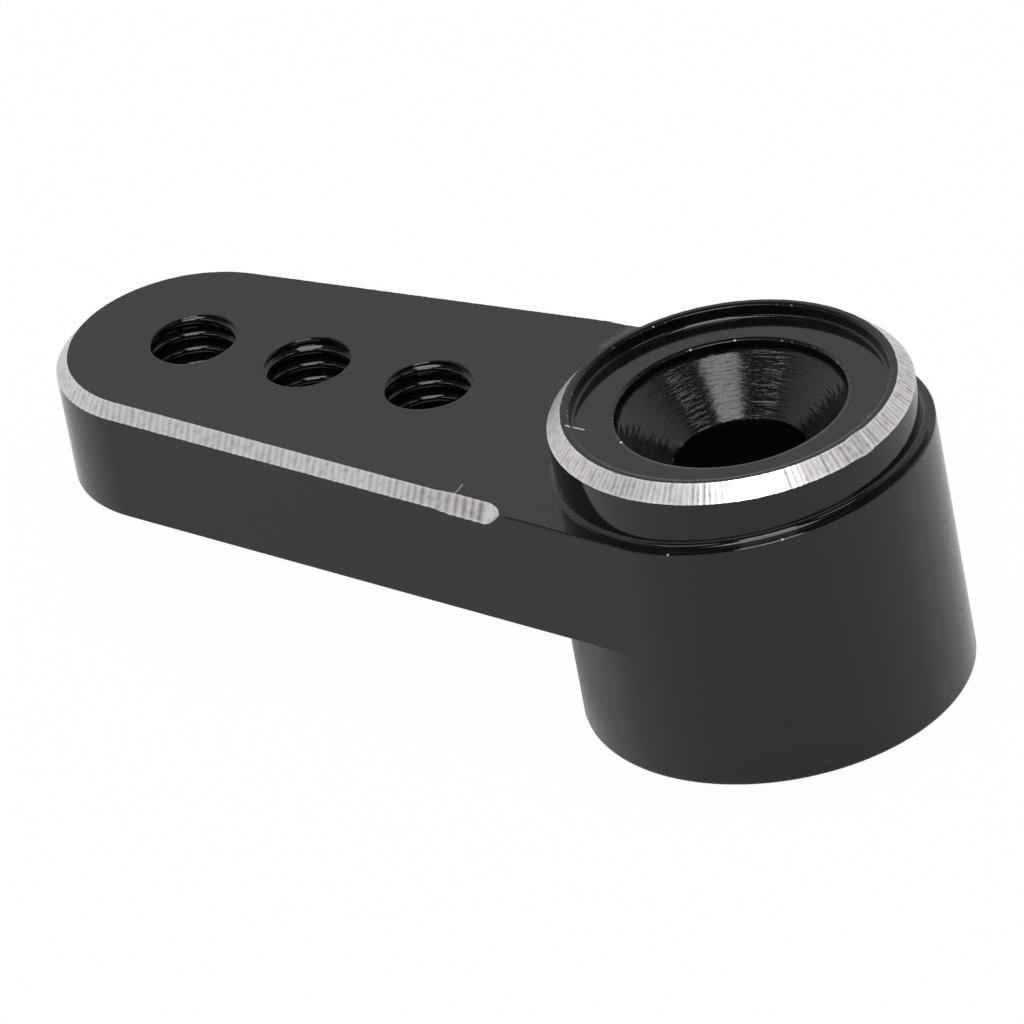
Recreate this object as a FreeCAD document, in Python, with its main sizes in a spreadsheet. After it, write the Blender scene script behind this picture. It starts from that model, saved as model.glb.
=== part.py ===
# Servo horn: one piece of aluminium, turned and milled, with a splined hub, a raised collar with a
# countersunk seat for the horn screw, and a single arm with three tapped holes.
# Millimetres. The spline axis is Z through the origin, the hub's foot stands on z = 0, and the arm
# points along +X.

import FreeCAD, Part
import math
import os

import Sketcher
from FreeCAD import Placement, Rotation, Vector

NODE = "servo_horn"

# Driving dimensions, in millimetres. Widths and depths are measured from the neighbouring face.
SIZES = {
    "hubRadius": 5.75,
    "footHeight": 4.1,
    "footEdge": 0.15,
    "armThickness": 3.75,
    "armReach": 19.1,
    "endRadius": 4.1,
    "collarRise": 1.95,
    "ledgeWidth": 0.4,
    "ledgeRise": 0.3,
    "ledgeFillet": 0.18,
    "collarChamfer": 0.45,
    "rimWidth": 0.25,
    "recessDepth": 0.4,
    "recessFillet": 0.2,
    "seatRadius": 3.4,
    "seatLip": 0.35,
    "boreRadius": 1.95,
    "socketDepth": 4.2,
    "socketLead": 0.45,
    "splineCount": 25,
    "splineTipRadius": 2.7,
    "splineRootRadius": 2.98,
    "grooveRootHalf": 0.07,
    "grooveMouthHalf": 0.25,
    "holeDiameter": 2.46,
    "holePitch": 4.15,
    "armChamfer": 0.38,
    "chamferRun": 13.75,
    "cutterOffset": 0.5,
    "cutterDwell": 0.07,
    "overlapAngle": 170,
}

SHEET = "Sizes"

# How far a cutting profile runs past the metal.
CLEARANCE = 0.5


class Size:
    """A length that carries its value and the sheet expression that gives it."""

    def __init__(self, value, text):
        self.value = value
        self.text = text

    def _join(self, sign, other, value):
        return Size(value, f"({self.text} {sign} {as_size(other).text})")

    def __add__(self, other):
        return self._join("+", other, self.value + as_size(other).value)

    def __sub__(self, other):
        return self._join("-", other, self.value - as_size(other).value)

    def __mul__(self, other):
        return self._join("*", other, self.value * as_size(other).value)

    def __truediv__(self, other):
        return self._join("/", other, self.value / as_size(other).value)

    def __neg__(self):
        return Size(-self.value, f"(-1 * {self.text})")


def as_size(length):
    return length if isinstance(length, Size) else Size(length, repr(length))


def size(name):
    return Size(SIZES[name], f"{SHEET}.{name}")


def sine(angle):
    return Size(math.sin(math.radians(angle.value)), f"sin({angle.text})")


def cosine(angle):
    return Size(math.cos(math.radians(angle.value)), f"cos({angle.text})")


# Heights of the flat faces above the foot.
arm_top = size("footHeight") + size("armThickness")
collar_top = arm_top + size("collarRise")
recess_floor = collar_top - size("recessDepth")
seat_edge = recess_floor - size("seatLip")
bore_edge = seat_edge - (size("seatRadius") - size("boreRadius"))

# Radii of the turned faces.
collar_radius = size("hubRadius") - size("ledgeWidth")
recess_radius = collar_radius - size("collarChamfer") - size("rimWidth")

# The sides of the arm lean in from the hub to the round end by this angle, in degrees.
side_ratio = (size("hubRadius") - size("endRadius")) / size("armReach")
side_angle = Size(math.degrees(math.asin(side_ratio.value)), f"(asin({side_ratio.text}) / 1deg)")


def make_sheet(doc):
    sheet = doc.addObject("Spreadsheet::Sheet", SHEET)
    for row, (name, value) in enumerate(SIZES.items(), start=1):
        sheet.set(f"A{row}", name)
        sheet.set(f"B{row}", str(value))
        sheet.setAlias(f"B{row}", name)
    doc.recompute()


def origin_feature(body, role):
    return next(item for item in body.Origin.OriginFeatures if item.Role == role)


def bind(obj, path, length):
    obj.setExpression(path, length.text)


def attach(obj, body, plane, offset=(0, 0, 0), turn=None):
    """Attach an object to an origin plane. offset and turn are taken along the plane's own axes."""
    offset = [as_size(part) for part in offset]
    obj.AttachmentSupport = (origin_feature(body, plane), "")
    obj.MapMode = "FlatFace"
    rotation = Rotation(Vector(0, 1, 0), turn.value) if turn else Rotation()
    obj.AttachmentOffset = Placement(Vector(*[part.value for part in offset]), rotation)
    for axis, part in zip("xyz", offset):
        bind(obj, f"AttachmentOffset.Base.{axis}", part)
    if turn:
        bind(obj, "AttachmentOffset.Rotation.Angle", turn)


def new_sketch(body, name, plane, **place):
    sketch = body.newObject("Sketcher::SketchObject", name)
    attach(sketch, body, plane, **place)
    return sketch


def relate(sketch, *terms):
    return sketch.addConstraint(Sketcher.Constraint(*terms))


def dimension(sketch, *terms, length):
    """Add a dimension to the sketch and bind it to the sheet."""
    index = relate(sketch, *terms, length.value)
    bind(sketch, f"Constraints[{index}]", length)


def fix_point(sketch, edge, end, point):
    """Hold one end of an edge at a point given from the sketch's origin."""
    for kind, across, length in zip(("DistanceX", "DistanceY"), (-2, -1), point):
        if as_size(length).value == 0:
            relate(sketch, "PointOnObject", edge, end, across)
        else:
            dimension(sketch, kind, -1, 1, edge, end, length=as_size(length))


def flat(point):
    return Vector(as_size(point[0]).value, as_size(point[1]).value, 0)


def draw_edge(sketch, start, end, radius=None):
    """Draw a line, or an arc that bends to the right on its way from start to end.

    Returns the edge with the numbers of its first and last ends."""
    first, last = flat(start), flat(end)
    if radius is None:
        return sketch.addGeometry(Part.LineSegment(first, last)), 1, 2
    chord = last - first
    to_centre = math.sqrt(radius.value ** 2 - (chord.Length / 2) ** 2) / chord.Length
    centre = (first + last) / 2 + Vector(chord.y, -chord.x, 0) * to_centre
    circle = Part.Circle(centre, Vector(0, 0, 1), radius.value)
    low, high = [math.atan2(point.y - centre.y, point.x - centre.x) for point in (last, first)]
    edge = sketch.addGeometry(Part.ArcOfCircle(circle, low, high))
    dimension(sketch, "Radius", edge, length=radius)
    return edge, 2, 1


def draw_profile(sketch, points, arcs=None):
    """Draw a closed outline. arcs gives the radius of the edge that ends at the numbered point."""
    arcs = arcs or {}
    edges = []
    for number, point in enumerate(points):
        edges.append(draw_edge(sketch, points[number - 1], point, arcs.get(number)))
    for number, point in enumerate(points):
        edge, _, last = edges[number]
        following, first, _ = edges[(number + 1) % len(edges)]
        relate(sketch, "Coincident", edge, last, following, first)
        fix_point(sketch, edge, last, point)


def turned(body, name, kind, points, arcs=None):
    """Turn a profile, given as radius and height, about the spline axis."""
    sketch = new_sketch(body, name + "Profile", "XZ_Plane")
    draw_profile(sketch, points, arcs)
    feature = body.newObject(f"PartDesign::{kind}", name)
    feature.Profile = sketch
    feature.ReferenceAxis = (sketch, ["V_Axis"])
    feature.Angle = 360
    return feature


def draw_arm_outline(sketch):
    """Draw the arm from above: the hub's arc, the end's arc and the two sides that touch both."""
    hub, end, reach = size("hubRadius"), size("endRadius"), size("armReach")
    lean = math.radians(90 - side_angle.value)
    rounds = {}
    for key, centre, radius, spread in (("hub", 0, hub, (lean, -lean)), ("end", reach.value, end, (-lean, lean))):
        circle = Part.Circle(Vector(centre, 0, 0), Vector(0, 0, 1), radius.value)
        low, high = spread[0], spread[1] + (2 * math.pi if spread[1] < spread[0] else 0)
        rounds[key] = sketch.addGeometry(Part.ArcOfCircle(circle, low, high))
        dimension(sketch, "Radius", rounds[key], length=radius)
    relate(sketch, "Coincident", rounds["hub"], 3, -1, 1)
    fix_point(sketch, rounds["end"], 3, (reach, 0))
    for side, hub_end, end_end in ((1, 1, 2), (-1, 2, 1)):
        across = Vector(math.cos(lean), side * math.sin(lean), 0)
        tangent = Part.LineSegment(across * hub.value, Vector(reach.value, 0, 0) + across * end.value)
        edge = sketch.addGeometry(tangent)
        relate(sketch, "Tangent", edge, 1, rounds["hub"], hub_end)
        relate(sketch, "Tangent", edge, 2, rounds["end"], end_end)


def add_arm(body):
    sketch = new_sketch(body, "ArmOutline", "XY_Plane", offset=(0, 0, size("footHeight")))
    draw_arm_outline(sketch)
    arm = body.newObject("PartDesign::Pad", "Arm")
    arm.Profile = sketch
    bind(arm, "Length", size("armThickness"))


def add_hub(body):
    """The hub with its broken lower edge, its top cut down to the arm, and the collar above it."""
    edge, hub = size("footEdge"), size("hubRadius")
    ledge_top = arm_top + size("ledgeRise")
    turned(body, "Hub", "Revolution", [
        (0, 0),
        (hub - edge, 0),
        (hub, edge),
        (hub, ledge_top),
        (0, ledge_top),
    ])
    slice_ledge(body, ledge_top)
    fillet = size("ledgeFillet")
    turned(body, "Collar", "Revolution", [
        (0, arm_top - CLEARANCE),
        (collar_radius + fillet, arm_top - CLEARANCE),
        (collar_radius + fillet, arm_top),
        (collar_radius, arm_top + fillet),
        (collar_radius, collar_top),
        (0, collar_top),
    ], arcs={3: fillet})


def slice_ledge(body, ledge_top):
    """The ledge is level with the arm in front and slopes up to its full height at the back."""
    outwards = size("hubRadius") + CLEARANCE
    slope_end = arm_top + size("ledgeRise") * outwards / size("hubRadius")
    sketch = new_sketch(body, "LedgeProfile", "XZ_Plane")
    draw_profile(sketch, [
        (-outwards, slope_end),
        (0, arm_top),
        (outwards, arm_top),
        (outwards, ledge_top + CLEARANCE),
        (-outwards, ledge_top + CLEARANCE),
    ])
    ledge = body.newObject("PartDesign::Pocket", "Ledge")
    ledge.Profile = sketch
    ledge.Type = "ThroughAll"
    ledge.SideType = "Symmetric"


def flank(outer, top, chamfer):
    """The cutting triangle of a 45 degree chamfer on the edge at this radius and height."""
    return [
        (outer - chamfer - CLEARANCE, top + CLEARANCE),
        (outer + CLEARANCE, top + CLEARANCE),
        (outer + CLEARANCE, top - chamfer - CLEARANCE),
    ]


def cut_hub(body):
    """The turned cuts: the collar's chamfer, the recess, the seat, the screw bore and the socket."""
    turned(body, "CollarChamfer", "Groove", flank(collar_radius, collar_top, size("collarChamfer")))
    fillet = size("recessFillet")
    turned(body, "Recess", "Groove", [
        (0, recess_floor),
        (0, collar_top + CLEARANCE),
        (recess_radius, collar_top + CLEARANCE),
        (recess_radius, recess_floor + fillet),
        (recess_radius - fillet, recess_floor),
    ], arcs={4: fillet})
    seat, bore = size("seatRadius"), size("boreRadius")
    turned(body, "ScrewSeat", "Groove", [
        (0, bore_edge),
        (0, recess_floor + CLEARANCE),
        (seat, recess_floor + CLEARANCE),
        (seat, seat_edge),
        (bore, bore_edge),
    ])
    turned(body, "ScrewBore", "Groove", [
        (0, size("socketDepth") - CLEARANCE),
        (0, bore_edge + CLEARANCE),
        (bore, bore_edge + CLEARANCE),
        (bore, size("socketDepth") - CLEARANCE),
    ])
    tip, lead = size("splineTipRadius"), size("socketLead")
    turned(body, "Socket", "Groove", [
        (0, 0),
        (0, size("socketDepth")),
        (tip, size("socketDepth")),
        (tip, lead),
        (tip + lead, 0),
    ])


def cut_splines(body):
    """One tapered groove between two spline teeth, repeated round the socket."""
    tip, root = size("splineTipRadius"), size("splineRootRadius")
    root_half, mouth_half = size("grooveRootHalf"), size("grooveMouthHalf")
    spread = (mouth_half - root_half) / (root - tip)
    inner = tip - root_half
    inner_half = mouth_half + spread * root_half
    sketch = new_sketch(body, "SplineGrooveProfile", "XY_Plane")
    draw_profile(sketch, [
        (inner, -inner_half),
        (root, -root_half),
        (root, root_half),
        (inner, inner_half),
    ])
    groove = body.newObject("PartDesign::Pocket", "SplineGroove")
    groove.Profile = sketch
    groove.Reversed = True
    bind(groove, "Length", size("socketDepth"))
    pattern = body.newObject("PartDesign::PolarPattern", "Splines")
    pattern.Originals = [groove]
    pattern.Axis = (origin_feature(body, "Z_Axis"), [""])
    pattern.Angle = 360
    bind(pattern, "Occurrences", size("splineCount"))
    body.Tip = pattern


def cut_holes(body):
    """Three tapping holes through the arm, the outermost at the centre of its round end."""
    sketch = new_sketch(body, "HoleCentres", "XY_Plane", offset=(0, 0, arm_top))
    for step in range(3):
        centre = size("armReach") - size("holePitch") * step
        circle = Part.Circle(flat((centre, 0)), Vector(0, 0, 1), SIZES["holeDiameter"] / 2)
        edge = sketch.addGeometry(circle)
        fix_point(sketch, edge, 3, (centre, 0))
        dimension(sketch, "Diameter", edge, length=size("holeDiameter"))
    body.Document.recompute()
    holes = body.newObject("PartDesign::Hole", "ThreadHoles")
    holes.Profile = sketch
    holes.DepthType = "ThroughAll"
    holes.Threaded = False
    bind(holes, "Diameter", size("holeDiameter"))


def draw_chamfer_path(sketch):
    """The line the cutter follows: along one side of the arm, round its end and back."""
    hub, end, reach, run = size("hubRadius"), size("endRadius"), size("armReach"), size("chamferRun")
    lean = math.radians(90 - side_angle.value)
    circle = Part.Circle(Vector(reach.value, 0, 0), Vector(0, 0, 1), end.value)
    turn = sketch.addGeometry(Part.ArcOfCircle(circle, -lean, lean))
    dimension(sketch, "Radius", turn, length=end)
    fix_point(sketch, turn, 3, (reach, 0))
    guide = sketch.addGeometry(Part.Circle(Vector(), Vector(0, 0, 1), hub.value), True)
    dimension(sketch, "Radius", guide, length=hub)
    relate(sketch, "Coincident", guide, 3, -1, 1)
    for side, turn_end in ((1, 2), (-1, 1)):
        across = Vector(math.cos(lean), side * math.sin(lean), 0)
        along = Vector(-math.sin(lean), side * math.cos(lean), 0)
        start = Vector(reach.value, 0, 0) + across * end.value
        edge = sketch.addGeometry(Part.LineSegment(start, start + along * run.value))
        relate(sketch, "Tangent", edge, 1, turn, turn_end)
        relate(sketch, "Tangent", edge, guide)
        dimension(sketch, "Distance", edge, length=run)


def cut_arm_chamfer(body):
    """The chamfer round the arm's upper edge, and the cutter's round run-out at both of its ends."""
    path = new_sketch(body, "ChamferPath", "XY_Plane", offset=(0, 0, arm_top))
    draw_chamfer_path(path)
    run = size("chamferRun")
    start = (run * sine(side_angle), 0, size("armReach") - run * cosine(side_angle))
    profile = new_sketch(body, "ChamferProfile", "YZ_Plane", offset=start, turn=-side_angle)
    draw_profile(profile, flank(size("endRadius"), arm_top, size("armChamfer")))
    sweep = body.newObject("PartDesign::SubtractivePipe", "ArmChamfer")
    sweep.Profile = profile
    sweep.Spine = (path, ["Edge1", "Edge2", "Edge3"])
    outwards = size("endRadius") + size("cutterOffset")
    sink_cutter(body, "RunOut", arm_top, size("armChamfer"), (
        start[2] + outwards * sine(side_angle),
        start[0] + outwards * cosine(side_angle),
    ))
    body.Document.recompute()
    mirror = body.newObject("PartDesign::Mirrored", "FarRunOut")
    mirror.Originals = [body.Tip]
    mirror.MirrorPlane = (origin_feature(body, "XZ_Plane"), [""])
    body.Tip = mirror


def cut_overlap(body):
    """The place on the collar's chamfer where the cutter went in and came out."""
    outwards = collar_radius + size("cutterOffset")
    angle = Size(SIZES["overlapAngle"], f"({SHEET}.overlapAngle * 1deg)")
    sink_cutter(body, "ChamferOverlap", collar_top, size("collarChamfer"), (
        outwards * cosine(angle),
        outwards * sine(angle),
    ))


def sink_cutter(body, name, top, chamfer, centre):
    """Sink the cutter's 45 degree cone beside an edge, a little deeper than the chamfer there."""
    depth = size("cutterOffset") + chamfer + size("cutterDwell")
    cone = body.newObject("PartDesign::SubtractiveCone", name)
    attach(cone, body, "XY_Plane", offset=(*centre, top - depth))
    cone.Radius1 = 0
    bind(cone, "Radius2", depth + CLEARANCE)
    bind(cone, "Height", depth + CLEARANCE)


def check(doc, body):
    """Stop on a failed object or an empty shape, or where a feature left the volume as it was."""
    for obj in doc.Objects:
        if {"Invalid", "Error"} & set(obj.State):
            raise RuntimeError(f"{obj.Name} failed: {obj.State}")
    if body.Shape.isNull() or not body.Shape.isValid() or len(body.Shape.Solids) != 1:
        raise RuntimeError(f"{body.Label} is not one valid solid")
    solids = [obj for obj in body.Group if obj.isDerivedFrom("PartDesign::Feature")]
    before = 0
    for feature in solids:
        after = feature.Shape.Volume
        adds = feature.TypeId in ("PartDesign::Pad", "PartDesign::Revolution")
        if (after <= before) if adds else (after >= before):
            raise RuntimeError(f"{feature.Name} changed the volume from {before} to {after}")
        before = after


def main():
    doc = FreeCAD.newDocument("ServoHorn")
    make_sheet(doc)
    body = doc.addObject("PartDesign::Body", "ServoHorn")
    body.Label = NODE
    body.Placement = Placement()
    for step in (add_arm, add_hub, cut_hub, cut_splines, cut_holes, cut_arm_chamfer, cut_overlap):
        step(body)
        doc.recompute()
    check(doc, body)
    os.makedirs("parts", exist_ok=True)
    body.Shape.exportStep(f"parts/{NODE}.step")


main()
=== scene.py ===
import math

import bmesh
import bpy
import numpy as np
from mathutils import Matrix, Vector
from mathutils.geometry import delaunay_2d_cdt


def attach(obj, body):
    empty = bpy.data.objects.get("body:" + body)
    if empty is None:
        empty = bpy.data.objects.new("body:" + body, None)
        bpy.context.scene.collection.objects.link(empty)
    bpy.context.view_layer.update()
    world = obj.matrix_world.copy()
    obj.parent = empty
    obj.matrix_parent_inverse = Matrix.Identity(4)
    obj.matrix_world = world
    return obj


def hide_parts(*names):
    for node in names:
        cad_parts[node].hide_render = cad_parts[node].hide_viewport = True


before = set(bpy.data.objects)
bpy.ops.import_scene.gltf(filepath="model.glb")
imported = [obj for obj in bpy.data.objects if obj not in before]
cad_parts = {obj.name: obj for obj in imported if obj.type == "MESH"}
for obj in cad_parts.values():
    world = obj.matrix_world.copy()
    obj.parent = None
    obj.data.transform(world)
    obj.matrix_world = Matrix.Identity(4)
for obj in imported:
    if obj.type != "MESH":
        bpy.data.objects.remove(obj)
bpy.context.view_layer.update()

# Sizes in millimetres. The mesh is built in them and scaled to metres at the end.
MM = 0.001
HUB_R, FOOT_H, FOOT_EDGE = 5.75, 4.1, 0.15
ARM_TOP, ARM_REACH, END_R = 7.85, 19.1, 4.1
COLLAR_R, COLLAR_TOP, COLLAR_CHAMFER = 5.35, 9.8, 0.45
LEDGE_RISE, LEDGE_FILLET = 0.3, 0.18
RECESS_R, RECESS_FLOOR, RECESS_FILLET = 4.65, 9.4, 0.1
SEAT_R, SEAT_EDGE, BORE_R, BORE_EDGE = 3.4, 9.05, 1.95, 7.6
SOCKET_TOP, SOCKET_LEAD, SPLINES, TIP_R, ROOT_R = 4.2, 0.45, 25, 2.7, 2.98
GROOVE_ROOT, GROOVE_MOUTH, FLANK_BULGE = 0.07, 0.25, 0.016

# The threads. Flats and spreads are parts of the pitch, depths at the mouth are parts of the full depth,
# and each turn is the angle at which a crest crosses a whole number of pitches.
HOLES, THREAD_TURNS = (10.8, 14.95, 19.1), (3.809, 5.773, 2.788)
THREAD_MINOR, THREAD_MAJOR, PITCH, HALF_FLAT, ROOT_SPREAD = 1.23, 1.5, 0.5, 0.125, 0.2
MOUTH_DEPTH, MOUTH_RUN, LEAST_DEPTH, CREST_ROUND, LIP = 0.3, 0.8, 0.24, 0.105, 0.05
FLANK = math.tan(math.radians(30))

# The bare chamfers: the cutter's steps along the arm, its dwell where it stops, and its overlap on the collar.
ARM_CHAMFER, CHAMFER_RUN, CUTTER_OFFSET, DWELL, DWELL_RUN = 0.38, 13.83, 0.5, 0.07, 0.5
FEED, END_FEED, END_STEPS, RUN_OUT, SLANT = 0.235, 0.3, 8, 1.8, -0.29
OVERLAP_ANGLE, OVERLAP_CUT = math.radians(169), 0.045
ARM_WANDER, COLLAR_WANDER, RIM_SHINE = 0.003, 0.0035, 0.7
PER_STEP, COLLAR_STEPS, COLLAR_PER_STEP = 6, 188, 5

# Small edges: how far each is broken, and over what run that begins.
LOWER_EDGE, LOWER_START, LOWER_RUN = 0.05, 0.9, 1.0
RIM_EDGE, RIM_RUN, TURNED_EDGE = 0.06, 0.3, 0.03
SEAT_FILLET, BORE_ROUND, GUARD = 0.2, 0.1, 0.015
BURNISHED, BURNISH_DROP, BURNISH_LEAD = 0.1, 0.02, 0.008

# Columns of the round faces, and the kinds of finish.
BACK_COLUMNS, FRONT_COLUMNS, INNER_COLUMNS, THREAD_COLUMNS = 193, 173, 320, 81
BLACK, CUT, TURNED = 0, 1, 2

# The arm's outline: how far its sides lean, where its round end starts, and its whole length.
LEAN = math.asin((HUB_R - END_R) / ARM_REACH)
TANGENT = math.pi / 2 - LEAN
SIDE = math.sqrt(ARM_REACH ** 2 - (HUB_R - END_R) ** 2)
BEND = 2 * TANGENT * END_R
PATH = 2 * SIDE + BEND
rng = np.random.default_rng(7)


class Skin:
    """Patches of the surface, joined into one closed mesh at the end."""

    def __init__(self):
        self.points, self.faces, self.kinds, self.smooth, self.marks = [], [], [], [], []
        self.count = 0

    def add(self, points, faces, kind=BLACK, smooth=True, marks=None):
        points = np.asarray(points, float)
        self.points.append(points)
        self.marks.append(np.zeros(len(points)) if marks is None else np.asarray(marks, float).ravel())
        self.kinds += list(np.broadcast_to(kind, len(faces)))
        self.smooth += [smooth] * len(faces)
        for face in faces:
            self.faces.append([self.count + int(i) for i in face])
        self.count += len(points)

    def grid(self, rows, kind=BLACK, closed=True, smooth=True, marks=None):
        rows = np.asarray(rows, float)
        n_rows, n_columns = rows.shape[:2]
        last = n_columns if closed else n_columns - 1
        faces = []
        for r in range(n_rows - 1):
            for c in range(last):
                d = (c + 1) % n_columns
                here, above = r * n_columns, (r + 1) * n_columns
                faces.append((here + c, here + d, above + d, above + c))
        self.add(rows.reshape(-1, 3), faces, kind, smooth, marks)

    def flat(self, loops, height, kind=BLACK, creases=()):
        """Fill the region between closed loops, seen from above, with flat triangles."""
        points, edges = [], []
        for loop in loops:
            base, n = len(points), len(loop)
            points += [tuple(p[:2]) for p in loop]
            edges += [(base + i, base + (i + 1) % n) for i in range(n)]
        corners = np.array(points)
        ax, ay, bx, by = (v[None, :] for i in (0, 1) for v in corners[np.array(edges)[:, i]].T)
        for a, b in creases:
            edges.append(tuple(int(np.argmin(np.hypot(*(corners - p).T))) for p in (a, b)))
        made = delaunay_2d_cdt([Vector(p) for p in points], edges, [], 0, 1e-7)
        flat = np.array([tuple(v) for v in made[0]])
        faces = np.array(made[2])
        middle = flat[faces].mean(1)
        inside = np.zeros(len(faces), bool)
        for first in range(0, len(faces), 256):
            mx, my = (middle[first:first + 256, i, None] for i in (0, 1))
            spans = (ay > my) != (by > my)
            with np.errstate(divide="ignore", invalid="ignore"):
                cross = ax + (my - ay) * (bx - ax) / (by - ay)
            inside[first:first + 256] = (spans & (mx < cross)).sum(1) % 2 == 1
        tall = height(flat[:, 0]) if callable(height) else np.full(len(flat), height)
        kinds = kind(middle[inside]) if callable(kind) else kind
        self.add(np.column_stack([flat, tall]), faces[inside], kinds, smooth=False)

    def build(self, name):
        mesh = bpy.data.meshes.new(name)
        mesh.from_pydata(np.concatenate(self.points).tolist(), [], self.faces)
        mesh.polygons.foreach_set("material_index", self.kinds)
        mesh.polygons.foreach_set("use_smooth", self.smooth)
        marks = np.concatenate(self.marks)
        corner = np.zeros(len(mesh.loops), np.int32)
        mesh.loops.foreach_get("vertex_index", corner)
        layer = mesh.attributes.new("feed", "FLOAT", "CORNER")
        layer.data.foreach_set("value", marks[corner].astype(np.float32))
        work = bmesh.new()
        work.from_mesh(mesh)
        bmesh.ops.remove_doubles(work, verts=work.verts, dist=3e-4)
        bmesh.ops.dissolve_degenerate(work, edges=work.edges, dist=1e-5)
        bmesh.ops.recalc_face_normals(work, faces=work.faces)
        if any(len(edge.link_faces) != 2 for edge in work.edges):
            raise RuntimeError("the surface of " + name + " is not closed")
        bmesh.ops.transform(work, matrix=Matrix.Scale(MM, 4), verts=work.verts)
        work.to_mesh(mesh)
        work.free()
        piece = bpy.data.objects.new(name, mesh)
        bpy.context.scene.collection.objects.link(piece)
        return piece


def ring(radius, height, angles):
    radius = np.broadcast_to(radius, angles.shape)
    return np.stack([radius * np.cos(angles), radius * np.sin(angles), np.broadcast_to(height, angles.shape)], 1)


def ledge_height(x):
    return ARM_TOP + LEDGE_RISE * np.maximum(0, -np.asarray(x)) / HUB_R


def along_path(s):
    """Points and outward directions at distances s along the arm's outline, from the hub and back to it."""
    s = np.asarray(s, float)
    angle = TANGENT - np.clip((s - SIDE) / END_R, 0, 2 * TANGENT)
    normal = np.stack([np.cos(angle), np.sin(angle)], 1)
    point = np.array([ARM_REACH, 0]) + END_R * normal
    before = np.maximum(SIDE - s, 0)
    after = np.maximum(s - SIDE - BEND, 0)
    point += np.outer(before, [-math.cos(LEAN), math.sin(LEAN)])
    point += np.outer(after, [-math.cos(LEAN), -math.sin(LEAN)])
    return point, normal


def cut_depth(points, cutters):
    """How deep the 45 degree cutter goes at points in plan, as the deepest of its steps."""
    depth = np.full(len(points), -1.0)
    for centre, slant, radius in cutters:
        first = np.maximum(radius - np.hypot(*(points - centre).T), 0)
        depth = np.maximum(depth, radius - np.hypot(*(points - centre - first[:, None] * slant).T))
    return depth


def chamfer_rows(point, normal, top, cutters, steps):
    """Rows of the chamfer from its lower edge to its upper one."""
    low, high = np.zeros(len(point)), np.full(len(point), 1.2)
    for _ in range(24):
        middle = (low + high) / 2
        inside = cut_depth(point - normal * middle[:, None], cutters) > 0
        low, high = np.where(inside, middle, low), np.where(inside, high, middle)
    width = np.where(cut_depth(point, cutters) > 1e-4, low, 0)
    rows = []
    for t in np.linspace(0, 1, steps + 1):
        plan = point - normal * (width * t)[:, None]
        depth = np.maximum(cut_depth(plan, cutters), 0) * (width > 0) * (t < 1)
        rows.append(np.column_stack([plan, top - depth]))
    return np.array(rows)


def feed_marks(step, strength, bright_rim):
    """How dark the cut is for each place in its rows, given as a count of cutter steps."""
    number = np.clip(np.floor(step).astype(int), 0, len(strength) - 1)
    tone = strength[number] * (0.5 - 0.5 * np.cos(2 * np.pi * step)) ** 1.5
    tone += 0.2 * strength[::-1][number]
    tone[[0, -1]] *= 1 - bright_rim
    return tone


skin = Skin()

# The arm's outline and its chamfer.
start = SIDE - CHAMFER_RUN
finish = PATH - start
end_steps = END_FEED * np.arange(END_STEPS)
inner_run = finish - start - 2 * END_FEED * END_STEPS
middle_steps = start + END_FEED * END_STEPS + np.linspace(0, inner_run, round(inner_run / FEED) + 1)
steps_at = np.concatenate([start + end_steps, middle_steps, finish - end_steps[::-1]])
n_steps = len(steps_at) - 1
from_end = np.minimum(steps_at - start, finish - steps_at)
plan, out = along_path(steps_at)
tangent = np.stack([out[:, 1], -out[:, 0]], 1)
arm_radii = CUTTER_OFFSET + ARM_CHAMFER + rng.normal(0, ARM_WANDER, n_steps + 1)
arm_radii += DWELL * np.clip((RUN_OUT - from_end) / DWELL_RUN, 0, 1)
arm_cutters = list(zip(plan + CUTTER_OFFSET * out, SLANT * tangent, arm_radii))
reach_out = math.sqrt(arm_radii[0] ** 2 - CUTTER_OFFSET ** 2)
extra = np.linspace(reach_out, END_FEED / PER_STEP, 18)
cut_s = np.interp(np.arange(n_steps * PER_STEP + 1) / PER_STEP, np.arange(n_steps + 1), steps_at)
cut_s = np.concatenate([start - extra, cut_s, finish + extra[::-1]])
bare = np.linspace(0, start - reach_out, 12)[:-1]
arm_s = np.concatenate([bare, cut_s, PATH - bare[::-1]])
point, normal = along_path(arm_s)
rows = chamfer_rows(point, normal, ARM_TOP, arm_cutters, 6)
first, last = len(bare), len(arm_s) - len(bare)
strength = np.interp(from_end, (0, RUN_OUT, 2 * RUN_OUT), (1.0, 0.85, 0.42))
strength *= rng.uniform(0.45, 1.0, n_steps + 1)
step = np.interp(cut_s - SLANT * (ARM_TOP - rows[:, first:last, 2]), steps_at, np.arange(n_steps + 1))
skin.grid(rows[:, first:last], CUT, closed=False, marks=feed_marks(step, strength, RIM_SHINE))

# The side wall of the arm and the back of the hub, one loop of columns, with their broken edges.
back = np.linspace(-TANGENT, -2 * math.pi + TANGENT, BACK_COLUMNS)
back = np.sort(np.concatenate([back[1:-1], [-math.pi / 2, -1.5 * math.pi]]))[::-1]
back = back[np.concatenate([[True], np.abs(np.diff(back)) > 1e-4])]
around = np.concatenate([point, ring(HUB_R, 0, back)[:, :2]])
outward = np.concatenate([normal, ring(1, 0, back)[:, :2]])
from_hub = np.minimum(arm_s, PATH - arm_s)
broken = np.clip((start - reach_out - from_hub) / RIM_RUN, 0, 1)
broken = RIM_EDGE * np.concatenate([broken, np.ones(len(back))])
rim_rows = []
for t in np.linspace(0, math.pi / 2, 4):
    inset = around - outward * (broken * (1 - math.cos(t)))[:, None]
    rim_rows.append(np.column_stack([inset, ledge_height(inset[:, 0]) - broken * (1 - math.sin(t))]))
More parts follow.
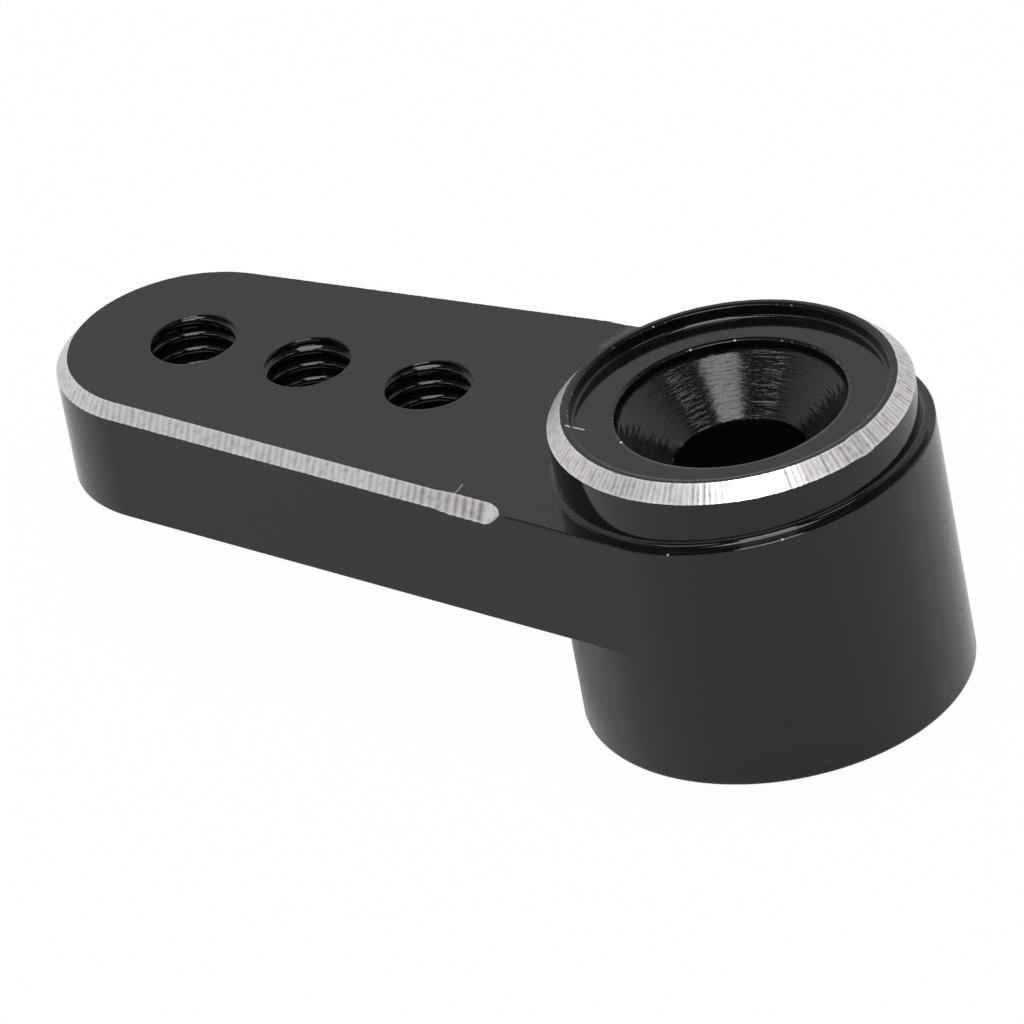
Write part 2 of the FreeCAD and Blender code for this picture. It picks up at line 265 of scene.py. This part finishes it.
edge_part = np.concatenate([np.arange(last - 1, len(around)), np.arange(first + 1)])
skin.grid([row[edge_part] for row in rim_rows], closed=False)
wall_top, top_edge = rim_rows[0].copy(), rim_rows[-1].copy()
wall_top[first:last], top_edge[first:last] = rows[0, first:last], rows[-1, first:last]
lower = LOWER_EDGE * np.clip((from_hub - LOWER_START) / LOWER_RUN, 0, 1)
bevel = []
for t in np.linspace(0, math.pi / 2, 4):
    inset = point - normal * (lower * (1 - math.cos(t)))[:, None]
    bevel.append(np.column_stack([inset, FOOT_H + lower * (1 - math.sin(t))]))
skin.grid(bevel, closed=False)
wall_foot = np.concatenate([bevel[0], ring(HUB_R, FOOT_H, back)])
guard = wall_top - (0, 0, GUARD)
skin.grid([wall_foot, wall_foot + (0, 0, GUARD), guard, wall_top])

# Threads of the three holes: half of one turn's profile, as parts of the pitch and radii.
FLAT_END = HALF_FLAT * PITCH - CREST_ROUND * FLANK
HALF_CREST = [((FLAT_END + CREST_ROUND * math.sin(a)) / PITCH, THREAD_MINOR + CREST_ROUND * (1 - math.cos(a)))
              for a in np.radians((0, 20, 40, 60))]
CREST = [(-w, r) for w, r in HALF_CREST[::-1]] + HALF_CREST


def edge_loop(work, height):
    """The closed loop of open edges at a height, as ordered points."""
    edges = [e for e in work.edges if len(e.link_faces) == 1]
    edges = [e for e in edges if all(abs(v.co.z - height) < 1e-4 for v in e.verts)]
    links = {}
    for e in edges:
        for v in e.verts:
            links.setdefault(v, []).append(e.other_vert(v))
    first_vert = edges[0].verts[0]
    loop, here, before = [first_vert], links[first_vert][0], first_vert
    while here is not first_vert:
        loop.append(here)
        here, before = next(v for v in links[here] if v is not before), here
    return np.array([tuple(v.co) for v in loop])


def cut_thread(x, turn):
    """Add one thread to the skin, worn shallow at its mouth, and return its end loops."""
    angles = np.linspace(0, 2 * math.pi, THREAD_COLUMNS)
    lip_foot = ARM_TOP - LIP
    rows = []
    for n in range(int(FOOT_H / PITCH) - 3, int(ARM_TOP / PITCH) + 4):
        base = n + (angles - turn) / (2 * math.pi)
        for w, radius in CREST:
            rows.append(ring(radius, PITCH * (base + w), angles))
        for side in (-1, 1):
            wall_z = PITCH * (base + 0.5 + ROOT_SPREAD * side)
            full = np.clip(MOUTH_DEPTH + (ARM_TOP - wall_z) / MOUTH_RUN, LEAST_DEPTH, 1)
            depth = (THREAD_MAJOR - THREAD_MINOR) * full
            w = 0.5 + side * (0.5 - HALF_FLAT - depth * FLANK / PITCH)
            rows.append(ring(THREAD_MINOR + depth, PITCH * (base + w), angles))
    rows = np.array(rows)
    n_rows, n_columns = rows.shape[:2]
    work = bmesh.new()
    verts = [work.verts.new(p) for p in rows.reshape(-1, 3)]
    for r in range(n_rows - 1):
        for c in range(n_columns - 1):
            i = r * n_columns + c
            work.faces.new((verts[i], verts[i + 1], verts[i + n_columns + 1], verts[i + n_columns]))
    bmesh.ops.remove_doubles(work, verts=work.verts, dist=1e-4)
    for height, side in ((lip_foot, 1), (FOOT_H, -1)):
        bmesh.ops.bisect_plane(work, geom=work.verts[:] + work.edges[:] + work.faces[:], dist=1e-5,
                               plane_co=(0, 0, height), plane_no=(0, 0, side), clear_outer=True)
    bmesh.ops.remove_doubles(work, verts=work.verts, dist=2e-4)
    bmesh.ops.translate(work, verts=work.verts, vec=(x, 0, 0))
    work.verts.index_update()
    skin.add([tuple(v.co) for v in work.verts], [[v.index for v in f.verts] for f in work.faces])
    lip, way_out = edge_loop(work, lip_foot), edge_loop(work, FOOT_H)
    work.free()
    away = lip[:, :2] - (x, 0)
    away /= np.hypot(*away.T)[:, None]
    lip_rows = [np.column_stack([lip[:, :2] + LIP * (1 - math.cos(t)) * away, lip[:, 2] + LIP * math.sin(t)])
                for t in np.linspace(0, math.pi / 2, 4)]
    skin.grid(lip_rows)
    return lip_rows[-1], way_out


mouths, exits = [], []
for x, turn in zip(HOLES, THREAD_TURNS):
    mouth, way_out = cut_thread(x, turn)
    mouths.append(mouth)
    exits.append(way_out)

# The collar, from its chamfer down to the ledge.
collar_columns = COLLAR_STEPS * COLLAR_PER_STEP
turn = np.arange(collar_columns) * 2 * math.pi / collar_columns
step_angle = np.arange(COLLAR_STEPS) * 2 * math.pi / COLLAR_STEPS
collar_centres = (COLLAR_R + CUTTER_OFFSET) * np.stack([np.cos(step_angle), np.sin(step_angle)], 1)
collar_radii = CUTTER_OFFSET + COLLAR_CHAMFER + rng.normal(0, COLLAR_WANDER, COLLAR_STEPS)
overlap = int(round(OVERLAP_ANGLE / (2 * math.pi) * COLLAR_STEPS))
collar_radii[overlap:overlap + 2] += OVERLAP_CUT, OVERLAP_CUT * 0.7
collar_cutters = [(centre, (0, 0), radius) for centre, radius in zip(collar_centres, collar_radii)]
collar_plan, outward = ring(COLLAR_R, 0, turn)[:, :2], ring(1, 0, turn)[:, :2]
collar_rows = chamfer_rows(collar_plan, outward, COLLAR_TOP, collar_cutters, 5)
step = np.tile(np.arange(collar_columns) / COLLAR_PER_STEP, (len(collar_rows), 1))
skin.grid(collar_rows, CUT, marks=feed_marks(step, rng.uniform(0.25, 0.75, COLLAR_STEPS), RIM_SHINE))
fillet = []
for t in np.linspace(0, math.pi / 2, 8):
    radius = COLLAR_R + LEDGE_FILLET * (1 - math.cos(t))
    fillet.append(ring(radius, 0, turn))
    fillet[-1][:, 2] = ledge_height(fillet[-1][:, 0]) + LEDGE_FILLET * (1 - math.sin(t))
skin.grid([collar_rows[0], collar_rows[0] - (0, 0, GUARD), fillet[0] + (0, 0, GUARD), *fillet])

# The top of the arm and the ledge round the collar, whose raised back half is a turned face.
def ledge_kind(middle):
    return np.where(middle[:, 0] < 0, TURNED, BLACK)


creases = [((0, side * (COLLAR_R + LEDGE_FILLET)), (0, side * (HUB_R - RIM_EDGE))) for side in (1, -1)]
skin.flat([top_edge, fillet[-1], *mouths], ledge_height, ledge_kind, creases)

# The turned inside of the collar.
inner = np.arange(INNER_COLUMNS) * 2 * math.pi / INNER_COLUMNS


def turned(profile, kind=BLACK):
    skin.grid([ring(r, z, inner) for r, z in profile], kind)


def rounded(centre, radius, begin, end, steps=5):
    """Points of an arc in the profile, from one angle to another in degrees."""
    return [(centre[0] + radius * math.cos(math.radians(a)), centre[1] + radius * math.sin(math.radians(a)))
            for a in np.linspace(begin, end, steps)]



def burnished_edge(radius, height):
    """The profile of an edge pressed slightly down by the tool, then rounded into the wall at a radius."""
    outer = radius + TURNED_EDGE + BURNISHED
    tilt = math.degrees(math.atan2(BURNISH_DROP, BURNISHED))
    bend = rounded((radius + TURNED_EDGE, height - BURNISH_DROP - TURNED_EDGE), TURNED_EDGE, 90 + tilt, 180)
    return [(outer, height), (outer - BURNISH_LEAD, height - 0.1 * BURNISH_LEAD), *bend]


recess_edge = burnished_edge(RECESS_R, COLLAR_TOP)
skin.flat([collar_rows[-1], ring(recess_edge[0][0], 0, inner)], COLLAR_TOP)
recess_foot = rounded((RECESS_R - RECESS_FILLET, RECESS_FLOOR + RECESS_FILLET), RECESS_FILLET, 0, -90, 9)
turned([*recess_edge, (RECESS_R, recess_edge[-1][1] - GUARD),
        (RECESS_R, RECESS_FLOOR + RECESS_FILLET + GUARD), *recess_foot])
mouth_edge = burnished_edge(SEAT_R, RECESS_FLOOR)
skin.flat([ring(RECESS_R - RECESS_FILLET, 0, inner), ring(mouth_edge[0][0], 0, inner)], RECESS_FLOOR)
half_bend = math.tan(math.radians(22.5))
seat_foot = rounded((SEAT_R - SEAT_FILLET, SEAT_EDGE + SEAT_FILLET * half_bend), SEAT_FILLET, 0, -45, 7)
bore_edge = rounded((BORE_R + BORE_ROUND, BORE_EDGE - BORE_ROUND * half_bend), BORE_ROUND, 135, 180, 5)
turned([*mouth_edge, (SEAT_R, mouth_edge[-1][1] - GUARD), (SEAT_R, seat_foot[0][1] + GUARD), seat_foot[0]])
turned([*seat_foot, (seat_foot[-1][0] - GUARD, seat_foot[-1][1] - GUARD),
        (bore_edge[0][0] + GUARD, bore_edge[0][1] + GUARD), *bore_edge], TURNED)
turned([bore_edge[-1], (BORE_R, bore_edge[-1][1] - GUARD), (BORE_R, SOCKET_TOP)])

# The splined socket.
slope = (GROOVE_MOUTH - GROOVE_ROOT) / (ROOT_R - TIP_R)
mouth_angle = math.asin((GROOVE_MOUTH - 0.004) / TIP_R)
root_angle = math.atan(GROOVE_ROOT / ROOT_R)
half = [0, root_angle * 0.5, root_angle, *np.linspace(root_angle, mouth_angle, 5)[1:], mouth_angle * 1.12]
pattern = np.array([-a for a in half[:0:-1]] + half)
spline_turn = np.concatenate([pattern + 2 * math.pi * k / SPLINES for k in range(SPLINES)])
lateral = np.abs(np.tile(pattern, SPLINES))
flank = (GROOVE_MOUTH + slope * TIP_R) / (np.sin(lateral) + slope * np.cos(lateral))
along = np.clip((lateral - root_angle) / (mouth_angle - root_angle), 0, 1)
flank = np.minimum(flank + FLANK_BULGE * along * (1 - along), math.hypot(ROOT_R, GROOVE_ROOT))
spline_r = np.where(lateral > mouth_angle * 1.01, TIP_R, np.maximum(TIP_R, flank))
socket = []
for z in (*np.linspace(0, SOCKET_LEAD, 10), 2.0, SOCKET_TOP):
    radius = np.maximum(spline_r, TIP_R + max(0, SOCKET_LEAD - z))
    socket.append(ring(radius, z, spline_turn))
skin.grid(socket)
skin.flat([socket[-1], ring(BORE_R, 0, inner)], SOCKET_TOP)

# The foot.
front = np.linspace(TANGENT, -TANGENT, FRONT_COLUMNS)[1:-1]
foot_turn = np.concatenate([[-TANGENT], back, [TANGENT], front])
foot = [ring(HUB_R, FOOT_H, foot_turn), ring(HUB_R, 2.0, foot_turn)]
foot += [ring(HUB_R - FOOT_EDGE + FOOT_EDGE * math.cos(a), FOOT_EDGE * (1 - math.sin(a)), foot_turn)
         for a in np.linspace(0, math.pi / 2, 5)]
skin.grid(foot)
skin.flat([foot[-1], socket[0]], 0.0)
front_arc = ring(HUB_R, 0, front[::-1])
skin.flat([np.concatenate([bevel[-1], front_arc]), *exits], FOOT_H)

horn = skin.build("horn")


def new_material(name):
    material = bpy.data.materials.new(name)
    material.use_nodes = True
    nodes = material.node_tree.nodes
    nodes.clear()
    return material, nodes, material.node_tree.links


def node(nodes, kind, **values):
    made = nodes.new("ShaderNode" + kind)
    for key, value in values.items():
        if hasattr(made, key):
            setattr(made, key, value)
        else:
            made.inputs[key.replace("_", " ")].default_value = value
    return made


def at_angle(radius, degrees, height):
    return (radius * math.cos(math.radians(degrees)), radius * math.sin(math.radians(degrees)), height)


# Small wear and pale marks on the black, one of them painted light, in millimetres. A scratch or streak has two
# ends, a half width, a softness and how pale it is, a speck has its place, radius and paleness, and a worn
# circle the radius and height of a turned edge.
SCRATCHES_AND_PAINTED_GLOW = [((6.77, 4.76, 7.85), (6.82, 4.25, 7.85), 0.015, 0.02, 0.20),
             ((3.61, 3.10, 9.80), (3.34, 3.12, 9.80), 0.022, 0.02, 0.55),
             ((3.75, 2.60, 9.40), (3.39, 2.62, 9.40), 0.022, 0.02, 0.40),
             # Painted glow: a wide, soft, faint pale streak on the arm top beyond the collar, standing for light
             # thrown there by the bright chamfer.
             ((6.80, -3.55, 7.85), (6.50, -4.70, 7.85), 0.02, 0.28, 0.05),
             # Two soft, faint pale streaks at the foot of the cone, by the bore's edge.
             ((2.39, -0.19, 7.60), (1.93, 0.11, 7.60), 0.01, 0.10, 0.05),
             ((1.55, 0.60, 7.60), (1.65, 0.95, 7.60), 0.01, 0.10, 0.05)]
SPECKS = [(at_angle(3.45, 55.3, 9.39), 0.035, 0.7), (at_angle(4.62, 96, 9.79), 0.025, 0.3),
          (at_angle(4.66, -30, 9.79), 0.03, 0.3), (at_angle(3.42, -38, 9.39), 0.03, 0.4),
          (at_angle(3.42, -60, 9.39), 0.03, 0.4), ((7.33, 5.3, 7.6), 0.03, 0.1),
          (at_angle(5.72, 134.8, 8.04), 0.03, 0.3), (at_angle(5.72, 101, 7.88), 0.03, 0.3)]
WORN_CIRCLES = [(4.66, 9.78), (3.41, 9.38), (1.96, 7.6)]


def worn_circle(nodes, links, place, radius, height):
    """How near each place is to a turned edge, as 1 on the edge and 0 a little way off."""
    parts = node(nodes, "SeparateXYZ")
    links.new(place.outputs["Object"], parts.inputs[0])
    flat = node(nodes, "CombineXYZ")
    links.new(parts.outputs[0], flat.inputs[0])
    links.new(parts.outputs[1], flat.inputs[1])
    reach = node(nodes, "VectorMath", operation="LENGTH")
    links.new(flat.outputs[0], reach.inputs[0])
    section = node(nodes, "CombineXYZ")
    for source, place_in, middle in ((reach.outputs["Value"], 0, radius), (parts.outputs[2], 1, height)):
        offset = node(nodes, "Math", operation="SUBTRACT")
        offset.inputs[1].default_value = middle * MM
        links.new(source, offset.inputs[0])
        links.new(offset.outputs[0], section.inputs[place_in])
    away = node(nodes, "VectorMath", operation="LENGTH")
    links.new(section.outputs[0], away.inputs[0])
    near = node(nodes, "MapRange")
    for key, value in (("From Min", 0.05 * MM), ("From Max", 0.02 * MM)):
        near.inputs[key].default_value = value
    links.new(away.outputs["Value"], near.inputs["Value"])
    return near


def wear_and_glow_mask(nodes, links, place):
    """How pale each place is made by the scratches, soft pale streaks, specks and worn edges; one streak is a
    painted glow.
    """
    found = None
    for begin, end, radius, soft, pale in SCRATCHES_AND_PAINTED_GLOW + [(p, None, r, 0.02, pale) for p, r, pale in SPECKS]:
        a = Vector(begin) * MM
        offset = node(nodes, "VectorMath", operation="SUBTRACT")
        offset.inputs[1].default_value = a
        links.new(place.outputs["Object"], offset.inputs[0])
        if end:
            along = Vector(end) * MM - a
            dot = node(nodes, "VectorMath", operation="DOT_PRODUCT")
            dot.inputs[1].default_value = along / along.length_squared
            links.new(offset.outputs[0], dot.inputs[0])
            clamp = node(nodes, "Clamp")
            links.new(dot.outputs["Value"], clamp.inputs[0])
            back_to = node(nodes, "VectorMath", operation="SCALE")
            back_to.inputs[0].default_value = along
            links.new(clamp.outputs[0], back_to.inputs["Scale"])
            rest = node(nodes, "VectorMath", operation="SUBTRACT")
            links.new(offset.outputs[0], rest.inputs[0])
            links.new(back_to.outputs[0], rest.inputs[1])
            offset = rest
        length = node(nodes, "VectorMath", operation="LENGTH")
        links.new(offset.outputs[0], length.inputs[0])
        fade = node(nodes, "MapRange")
        for key, value in (("From Min", (radius + soft) * MM), ("From Max", radius * MM), ("To Max", pale)):
            fade.inputs[key].default_value = value
        links.new(length.outputs["Value"], fade.inputs["Value"])
        if found is None:
            found = fade
        else:
            both = node(nodes, "Math", operation="MAXIMUM")
            links.new(found.outputs[0], both.inputs[0])
            links.new(fade.outputs[0], both.inputs[1])
            found = both
    chips = node(nodes, "TexNoise", Scale=5500.0, Detail=5.0)
    links.new(place.outputs["Object"], chips.inputs["Vector"])
    chipped = node(nodes, "MapRange")
    for key, value in (("From Min", 0.62), ("From Max", 0.72), ("To Max", 0.22)):
        chipped.inputs[key].default_value = value
    links.new(chips.outputs["Fac"], chipped.inputs["Value"])
    for radius, height in WORN_CIRCLES:
        part = node(nodes, "Math", operation="MULTIPLY")
        links.new(worn_circle(nodes, links, place, radius, height).outputs[0], part.inputs[0])
        links.new(chipped.outputs[0], part.inputs[1])
        both = node(nodes, "Math", operation="MAXIMUM")
        links.new(found.outputs[0], both.inputs[0])
        links.new(part.outputs[0], both.inputs[1])
        found = both
    return found


def black_anodise(name, stretch, depth, rough_low, rough_high):
    """Black anodised skin over fine marks, whose grain is stretched by the scales for x, y and z."""
    material, nodes, links = new_material(name)
    out = node(nodes, "OutputMaterial")
    shader = node(nodes, "BsdfPrincipled", IOR=1.48)
    links.new(shader.outputs[0], out.inputs[0])
    place = node(nodes, "TexCoord")
    scaled = node(nodes, "Mapping", Scale=stretch)
    links.new(place.outputs["Object"], scaled.inputs["Vector"])
    grain = node(nodes, "TexNoise", Scale=1.0, Detail=3.0)
    links.new(scaled.outputs[0], grain.inputs["Vector"])
    rough = node(nodes, "MapRange")
    rough.inputs["To Min"].default_value = rough_low
    rough.inputs["To Max"].default_value = rough_high
    links.new(grain.outputs["Fac"], rough.inputs["Value"])
    links.new(rough.outputs[0], shader.inputs["Roughness"])
    bump = node(nodes, "Bump", Strength=1.0, Distance=depth)
    links.new(grain.outputs["Fac"], bump.inputs["Height"])
    links.new(bump.outputs[0], shader.inputs["Normal"])
    # The black is mixed towards pale by the scratches, streaks, specks and worn edges, and by the painted glow
    # on the arm top.
    colour = node(nodes, "Mix", data_type="RGBA")
    colour.inputs[6].default_value = (0.004, 0.004, 0.0042, 1)
    colour.inputs[7].default_value = (1, 0.98, 0.98, 1)
    links.new(wear_and_glow_mask(nodes, links, place).outputs[0], colour.inputs[0])
    links.new(colour.outputs[2], shader.inputs["Base Color"])
    return material


def bright_cut():
    material, nodes, links = new_material("bright_cut")
    out = node(nodes, "OutputMaterial")
    shader = node(nodes, "BsdfPrincipled", Metallic=1.0, Roughness=0.31)
    links.new(shader.outputs[0], out.inputs[0])
    mark = node(nodes, "Attribute", attribute_name="feed")
    place = node(nodes, "TexCoord")
    mottle = node(nodes, "TexNoise", Scale=5000.0, Detail=3.0)
    links.new(place.outputs["Object"], mottle.inputs["Vector"])
    cloudy = node(nodes, "MapRange")
    for key, value in (("From Min", 0.5), ("From Max", 0.8), ("To Max", 0.6)):
        cloudy.inputs[key].default_value = value
    links.new(mottle.outputs["Fac"], cloudy.inputs["Value"])
    marked = node(nodes, "Math", operation="ADD")
    links.new(mark.outputs["Fac"], marked.inputs[0])
    links.new(cloudy.outputs[0], marked.inputs[1])
    tone = node(nodes, "ValToRGB")
    tone.color_ramp.elements[0].color = (0.95, 0.92, 0.95, 1)
    tone.color_ramp.elements[1].color = (0.42, 0.38, 0.43, 1)
    links.new(marked.outputs[0], tone.inputs[0])
    links.new(tone.outputs[0], shader.inputs["Base Color"])
    return material


horn.data.materials.append(black_anodise("black_anodise", (5200, 5200, 1500), 0.0000015, 0.07, 0.12))
horn.data.materials.append(bright_cut())
horn.data.materials.append(black_anodise("turned_seat", (1500, 1500, 13000), 0.00002, 0.12, 0.2))
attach(horn, "root")
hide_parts("servo_horn")

# Sharp edges: smooth shading stops where the surface turns by more than this.
work = bmesh.new()
work.from_mesh(horn.data)
for edge in work.edges:
    if len(edge.link_faces) == 2 and edge.calc_face_angle(0) > math.radians(24):
        edge.smooth = False
work.to_mesh(horn.data)
work.free()

# Floor and light.
bpy.ops.mesh.primitive_plane_add(size=4, location=(0, 0, -0.00002))
floor = bpy.context.object
floor.name = "floor"


def white_floor():
    material, nodes, links = new_material("white_floor")
    out = node(nodes, "OutputMaterial")
    diffuse = node(nodes, "BsdfDiffuse", Color=(0.67, 0.67, 0.67, 1))
    glow = node(nodes, "Emission", Strength=1.0)
    path = node(nodes, "LightPath")
    seen = node(nodes, "Math", operation="MULTIPLY")
    seen.inputs[1].default_value = 0.985
    links.new(path.outputs["Is Camera Ray"], seen.inputs[0])
    mirrored = node(nodes, "Math", operation="MULTIPLY")
    mirrored.inputs[1].default_value = 0.25
    links.new(path.outputs["Is Glossy Ray"], mirrored.inputs[0])
    shiny = node(nodes, "Math", operation="MAXIMUM")
    links.new(seen.outputs[0], shiny.inputs[0])
    links.new(mirrored.outputs[0], shiny.inputs[1])
    clear = node(nodes, "Math", operation="MAXIMUM")
    links.new(shiny.outputs[0], clear.inputs[0])
    links.new(path.outputs["Is Transmission Ray"], clear.inputs[1])
    mix = node(nodes, "MixShader")
    links.new(clear.outputs[0], mix.inputs[0])
    links.new(diffuse.outputs[0], mix.inputs[1])
    links.new(glow.outputs[0], mix.inputs[2])
    links.new(mix.outputs[0], out.inputs[0])
    return material


floor.data.materials.append(white_floor())

LENS_SIDE = math.radians(133)


def studio_world():
    """White for the camera, and for all else a pale tent, darker above and behind the lens."""
    world = bpy.data.worlds.new("studio")
    bpy.context.scene.world = world
    world.use_nodes = True
    nodes, links = world.node_tree.nodes, world.node_tree.links
    nodes.clear()
    out = node(nodes, "OutputWorld")
    dome = node(nodes, "Background")
    links.new(dome.outputs[0], out.inputs[0])
    direction = node(nodes, "TexCoord")
    parts = node(nodes, "SeparateXYZ")
    links.new(direction.outputs["Generated"], parts.inputs[0])
    tent = node(nodes, "MapRange", interpolation_type="SMOOTHSTEP", From_Min=math.sin(math.radians(38)),
                From_Max=math.sin(math.radians(48)), To_Min=0.84, To_Max=0.12)
    links.new(parts.outputs["Z"], tent.inputs["Value"])
    behind = node(nodes, "VectorMath", operation="DOT_PRODUCT")
    behind.inputs[1].default_value = (math.cos(LENS_SIDE), math.sin(LENS_SIDE), 0)
    links.new(direction.outputs["Generated"], behind.inputs[0])
    open_side = node(nodes, "MapRange", interpolation_type="SMOOTHSTEP", From_Min=0.05, From_Max=0.5,
                     To_Min=1.0, To_Max=0.1)
    links.new(behind.outputs["Value"], open_side.inputs["Value"])
    shaded = node(nodes, "Math", operation="MULTIPLY")
    links.new(tent.outputs[0], shaded.inputs[0])
    links.new(open_side.outputs[0], shaded.inputs[1])
    path = node(nodes, "LightPath")
    level = node(nodes, "Mix")
    level.inputs[3].default_value = 1.0
    links.new(path.outputs["Is Camera Ray"], level.inputs[0])
    links.new(shaded.outputs[0], level.inputs[2])
    links.new(level.outputs[0], dome.inputs["Strength"])


studio_world()


def softbox(name, azimuth, elevation, width, height, radiance, distance=0.6):
    """A lamp seen from the horn in a direction, wide and high by angles in degrees."""
    a, e = math.radians(azimuth), math.radians(elevation)
    towards = Vector((math.cos(a) * math.cos(e), math.sin(a) * math.cos(e), math.sin(e)))
    lamp = bpy.data.lights.new(name, "AREA")
    lamp.shape = "RECTANGLE"
    lamp.size = 2 * distance * math.tan(math.radians(width / 2))
    lamp.size_y = 2 * distance * math.tan(math.radians(height / 2))
    lamp.energy = radiance * math.pi * lamp.size * lamp.size_y
    held = bpy.data.objects.new(name, lamp)
    held.location = Vector((0.007, 0, 0.005)) + towards * distance
    held.rotation_euler = towards.to_track_quat("Z", "Y").to_euler()
    bpy.context.scene.collection.objects.link(held)


softbox("key", 133, 51, 27, 32, 5.2)
softbox("overhead", 133, 88, 30, 28, 5.0)
softbox("left_wing", 79, 40, 32, 9, 4.0)
softbox("right_wing", 182, 40, 22, 9, 4.0)

# The camera: its direction from the horn, its roll, the place it looks at, and in pixels of a picture
# PICTURE wide its focal length and the middle of its view.
AZIMUTH, ELEVATION, ROLL = math.radians(218.141), math.radians(31.267), math.radians(-10.766)
DISTANCE, TARGET = 0.47917, Vector((0.0076667, 0, 0.0047917))
PICTURE, SENSOR, FOCAL, CENTRE_X, CENTRE_Y = 1024, 36, 16505.5, 533.477, 492.512
backwards = Vector((math.sin(AZIMUTH) * math.cos(ELEVATION), -math.cos(AZIMUTH) * math.cos(ELEVATION),
                    math.sin(ELEVATION)))
right = Vector((0, 0, 1)).cross(backwards).normalized()
up = backwards.cross(right)
right, up = (math.cos(ROLL) * right + math.sin(ROLL) * up, math.cos(ROLL) * up - math.sin(ROLL) * right)
lens = bpy.data.cameras.new("camera")
camera = bpy.data.objects.new("camera", lens)
facing = Matrix((right, up, backwards)).transposed().to_4x4()
camera.matrix_world = Matrix.Translation(TARGET + backwards * DISTANCE) @ facing
lens.sensor_width = SENSOR
lens.lens = FOCAL * SENSOR / PICTURE
lens.shift_x = 0.5 - CENTRE_X / PICTURE
lens.shift_y = CENTRE_Y / PICTURE - 0.5
lens.clip_start, lens.clip_end = 0.01, 20
bpy.context.scene.collection.objects.link(camera)
bpy.context.scene.camera = camera
bpy.context.scene.view_settings.view_transform = "Standard"
